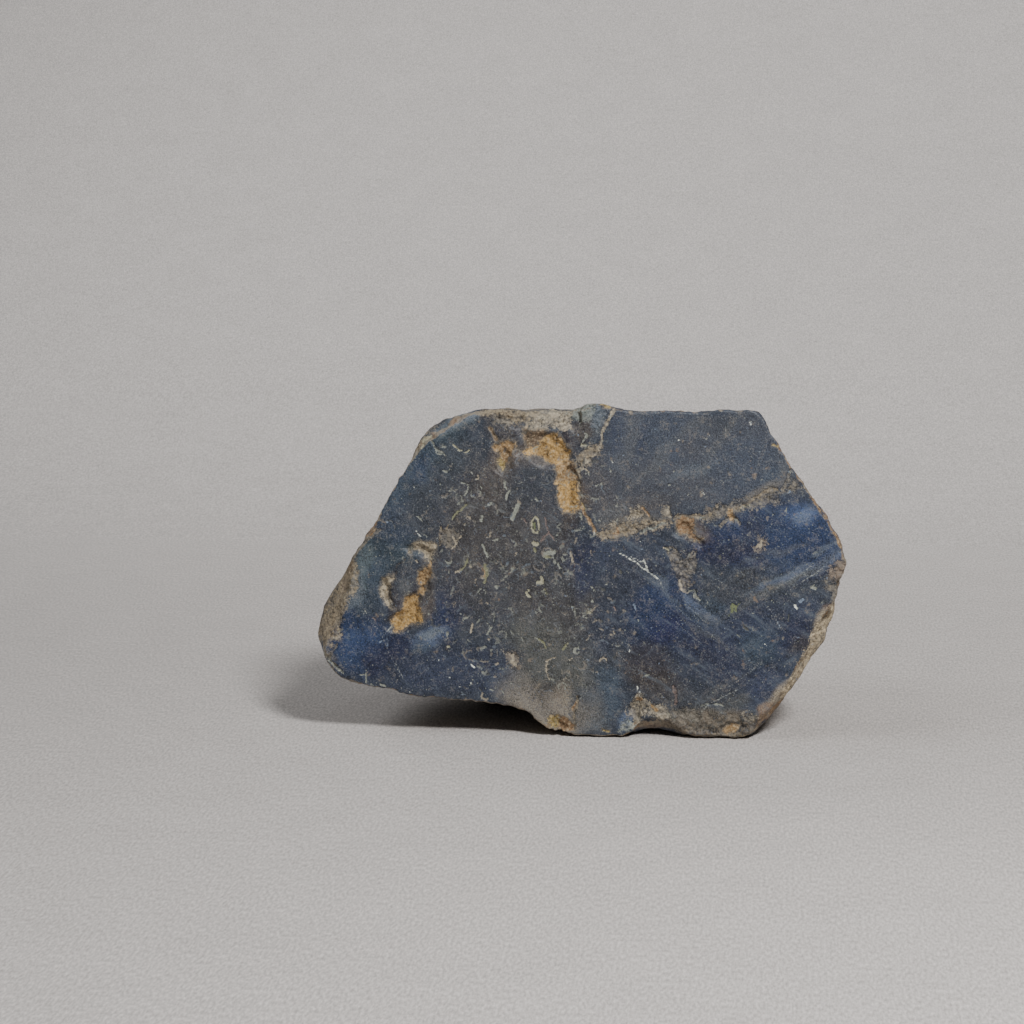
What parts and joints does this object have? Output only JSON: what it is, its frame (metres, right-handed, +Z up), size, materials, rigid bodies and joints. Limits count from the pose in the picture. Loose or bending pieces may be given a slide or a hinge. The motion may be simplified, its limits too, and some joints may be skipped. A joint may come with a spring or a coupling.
{
  "type": "rough blue chalcedony specimen",
  "caption": "Lump of blue-grey chalcedony rough with one flat sawn face showing ochre pits and a tan seam, and a weathered brown rind behind.",
  "frame": {"origin": "middle of the bottom of the stone's box, on the surface it rests on", "axes": "+Z up, the sawn face looks along -Y, +X to the right as one looks at the sawn face"},
  "size_m": [0.0532, 0.0266, 0.0338],
  "materials": {
    "chalcedony": "dull waxy sawn face, matt rind"
  },
  "bodies": {
    "root": {"stone": "chalcedony"}
  },
  "joints": []
}
